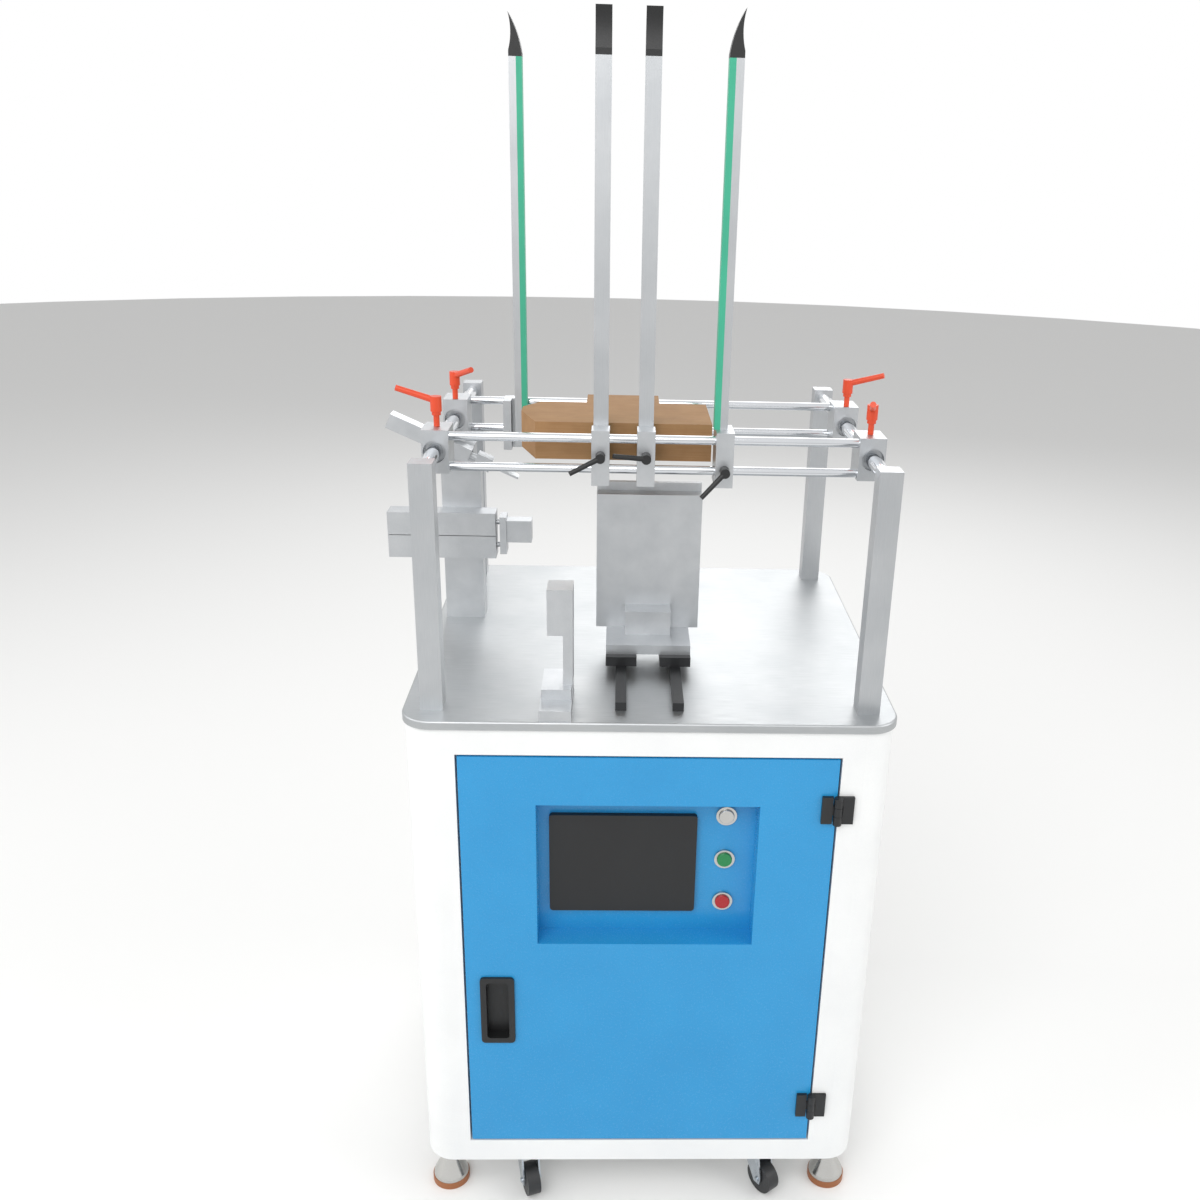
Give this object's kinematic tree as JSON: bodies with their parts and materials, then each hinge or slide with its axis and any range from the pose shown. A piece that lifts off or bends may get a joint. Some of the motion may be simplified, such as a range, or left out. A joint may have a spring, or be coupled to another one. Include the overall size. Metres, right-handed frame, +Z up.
{
  "type": "box folding machine",
  "caption": "Wheeled cabinet with a hinged front door and touch panel, a table, and a rod frame that holds a magazine of carton blanks over air-driven folding stations.",
  "frame": {"origin": "on the floor, under the centre of the cabinet's footprint", "axes": "+Z up, +X to the right seen from the door side, +Y to the back"},
  "size_m": [0.7384, 0.6499, 1.699],
  "materials": {
    "cabinet_paint": "fine satin powder coat",
    "table_paint": "fine satin powder coat",
    "black_plastic": "satin moulded",
    "pad_rubber": "matt",
    "bright_steel": "ground and polished",
    "zinc_steel": "zinc plated",
    "profile_aluminium": "clear anodised",
    "milled_aluminium": "milled and anodised",
    "green_plastic": "smooth machined",
    "cardboard": "matt coated board",
    "power_yellow": "glossy moulded",
    "start_green": "glossy moulded",
    "stop_red": "glossy moulded",
    "lever_red": "satin moulded",
    "wheel_plastic": "satin moulded"
  },
  "bodies": {
    "root": {"blank_stack": "cardboard", "cabinet_back_panel": "cabinet_paint", "cabinet_floor": "cabinet_paint", "cabinet_front_frame": "cabinet_paint", "cabinet_sides": "cabinet_paint", "carriage_plate": "milled_aluminium", "caster_plates": "zinc_steel", "corner_blocks": "milled_aluminium", "fixture_stand": "milled_aluminium", "foot_pads": "pad_rubber", "forming_head": "milled_aluminium", "forming_plate": "milled_aluminium", "frame_posts": "profile_aluminium", "frame_rods": "bright_steel", "guide_clamps": "milled_aluminium", "guide_rails": "profile_aluminium", "guide_strips": "green_plastic", "guide_tips": "black_plastic", "hinge_frame_halves": "black_plastic", "hook_cylinder": "milled_aluminium", "left_stand": "profile_aluminium", "levelling_feet": "bright_steel", "lift_cylinder": "milled_aluminium", "linear_rails": "milled_aluminium", "port_block": "milled_aluminium", "pusher_cylinders": "milled_aluminium", "table_plate": "table_paint"},
    "door": {"door_panel": "cabinet_paint", "door_handle": "black_plastic", "touch_screen": "black_plastic", "button_bezels": "bright_steel", "hinge_door_halves": "black_plastic"},
    "power_button": {"power_button": "power_yellow"},
    "start_button": {"start_button": "start_green"},
    "stop_button": {"stop_button": "stop_red"},
    "pusher": {"pusher": "milled_aluminium"},
    "hook_slide": {"hook_slide": "milled_aluminium"},
    "corner_lever_front_left": {"corner_lever_front_left": "lever_red"},
    "corner_lever_front_right": {"corner_lever_front_right": "lever_red"},
    "corner_lever_back_left": {"corner_lever_back_left": "lever_red"},
    "corner_lever_back_right": {"corner_lever_back_right": "lever_red"},
    "guide_lever_left": {"guide_lever_left": "black_plastic"},
    "guide_lever_middle": {"guide_lever_middle": "black_plastic"},
    "guide_lever_right": {"guide_lever_right": "black_plastic"},
    "caster_fork_front_left": {"caster_fork_front_left": "zinc_steel"},
    "caster_wheel_front_left": {"caster_wheel_front_left": "wheel_plastic"},
    "caster_fork_front_right": {"caster_fork_front_right": "zinc_steel"},
    "caster_wheel_front_right": {"caster_wheel_front_right": "wheel_plastic"},
    "caster_fork_back_left": {"caster_fork_back_left": "zinc_steel"},
    "caster_wheel_back_left": {"caster_wheel_back_left": "wheel_plastic"},
    "caster_fork_back_right": {"caster_fork_back_right": "zinc_steel"},
    "caster_wheel_back_right": {"caster_wheel_back_right": "wheel_plastic"}
  },
  "joints": [
    {"name": "door_hinge", "type": "hinge", "parent": "root", "child": "door", "pos_m": [0.255, -0.321, 0.45], "axis": [0, 0, 1], "range_deg": [0, 110]},
    {"name": "power_button_press", "type": "slide", "parent": "door", "child": "power_button", "axis": [0, 1, 0], "range_m": [0, 0.003], "stiffness_N_per_m": 400},
    {"name": "start_button_press", "type": "slide", "parent": "door", "child": "start_button", "axis": [0, 1, 0], "range_m": [0, 0.003], "stiffness_N_per_m": 400},
    {"name": "stop_button_press", "type": "slide", "parent": "door", "child": "stop_button", "axis": [0, 1, 0], "range_m": [0, 0.003], "stiffness_N_per_m": 400},
    {"name": "pusher_slide", "type": "slide", "parent": "root", "child": "pusher", "axis": [1, 0, 0], "range_m": [0, 0.04]},
    {"name": "hook_travel", "type": "slide", "parent": "root", "child": "hook_slide", "axis": [0.9135, 0, -0.4067], "range_m": [0, 0.03]},
    {"name": "corner_lever_front_left_turn", "type": "hinge", "parent": "root", "child": "corner_lever_front_left", "pos_m": [-0.291, -0.138, 1.2], "axis": [0, 0, 1], "range_deg": [0, 90]},
    {"name": "corner_lever_front_right_turn", "type": "hinge", "parent": "root", "child": "corner_lever_front_right", "pos_m": [0.291, -0.138, 1.2], "axis": [0, 0, 1], "range_deg": [0, 90]},
    {"name": "corner_lever_back_left_turn", "type": "hinge", "parent": "root", "child": "corner_lever_back_left", "pos_m": [-0.291, 0.051, 1.2], "axis": [0, 0, 1], "range_deg": [0, 90]},
    {"name": "corner_lever_back_right_turn", "type": "hinge", "parent": "root", "child": "corner_lever_back_right", "pos_m": [0.291, 0.051, 1.2], "axis": [0, 0, 1], "range_deg": [0, 90]},
    {"name": "guide_lever_left_turn", "type": "hinge", "parent": "root", "child": "guide_lever_left", "pos_m": [-0.0725, -0.181, 1.155], "axis": [0, -1, 0], "range_deg": [0, 90]},
    {"name": "guide_lever_middle_turn", "type": "hinge", "parent": "root", "child": "guide_lever_middle", "pos_m": [-0.012, -0.181, 1.155], "axis": [0, -1, 0], "range_deg": [0, 90]},
    {"name": "guide_lever_right_turn", "type": "hinge", "parent": "root", "child": "guide_lever_right", "pos_m": [0.0925, -0.181, 1.138], "axis": [0, -1, 0], "range_deg": [0, 90]},
    {"name": "caster_front_left_swivel", "type": "hinge", "parent": "root", "child": "caster_fork_front_left", "pos_m": [-0.18, -0.272, 0.06], "axis": [0, 0, 1], "continuous": true},
    {"name": "caster_front_left_spin", "type": "hinge", "parent": "caster_fork_front_left", "child": "caster_wheel_front_left", "pos_m": [-0.17145, -0.29549, 0.028], "axis": [-0.9397, -0.342, 0], "continuous": true},
    {"name": "caster_front_right_swivel", "type": "hinge", "parent": "root", "child": "caster_fork_front_right", "pos_m": [0.18, -0.272, 0.06], "axis": [0, 0, 1], "continuous": true},
    {"name": "caster_front_right_spin", "type": "hinge", "parent": "caster_fork_front_right", "child": "caster_wheel_front_right", "pos_m": [0.19504, -0.29197, 0.028], "axis": [-0.7986, -0.6018, 0], "continuous": true},
    {"name": "caster_back_left_swivel", "type": "hinge", "parent": "root", "child": "caster_fork_back_left", "pos_m": [-0.18, 0.272, 0.06], "axis": [0, 0, 1], "continuous": true},
    {"name": "caster_back_left_spin", "type": "hinge", "parent": "caster_fork_back_left", "child": "caster_wheel_back_left", "pos_m": [-0.17353, 0.29615, 0.028], "axis": [0.9659, -0.2588, 0], "continuous": true},
    {"name": "caster_back_right_swivel", "type": "hinge", "parent": "root", "child": "caster_fork_back_right", "pos_m": [0.18, 0.272, 0.06], "axis": [0, 0, 1], "continuous": true},
    {"name": "caster_back_right_spin", "type": "hinge", "parent": "caster_fork_back_right", "child": "caster_wheel_back_right", "pos_m": [0.17145, 0.29549, 0.028], "axis": [0.9397, 0.342, 0], "continuous": true}
  ]
}
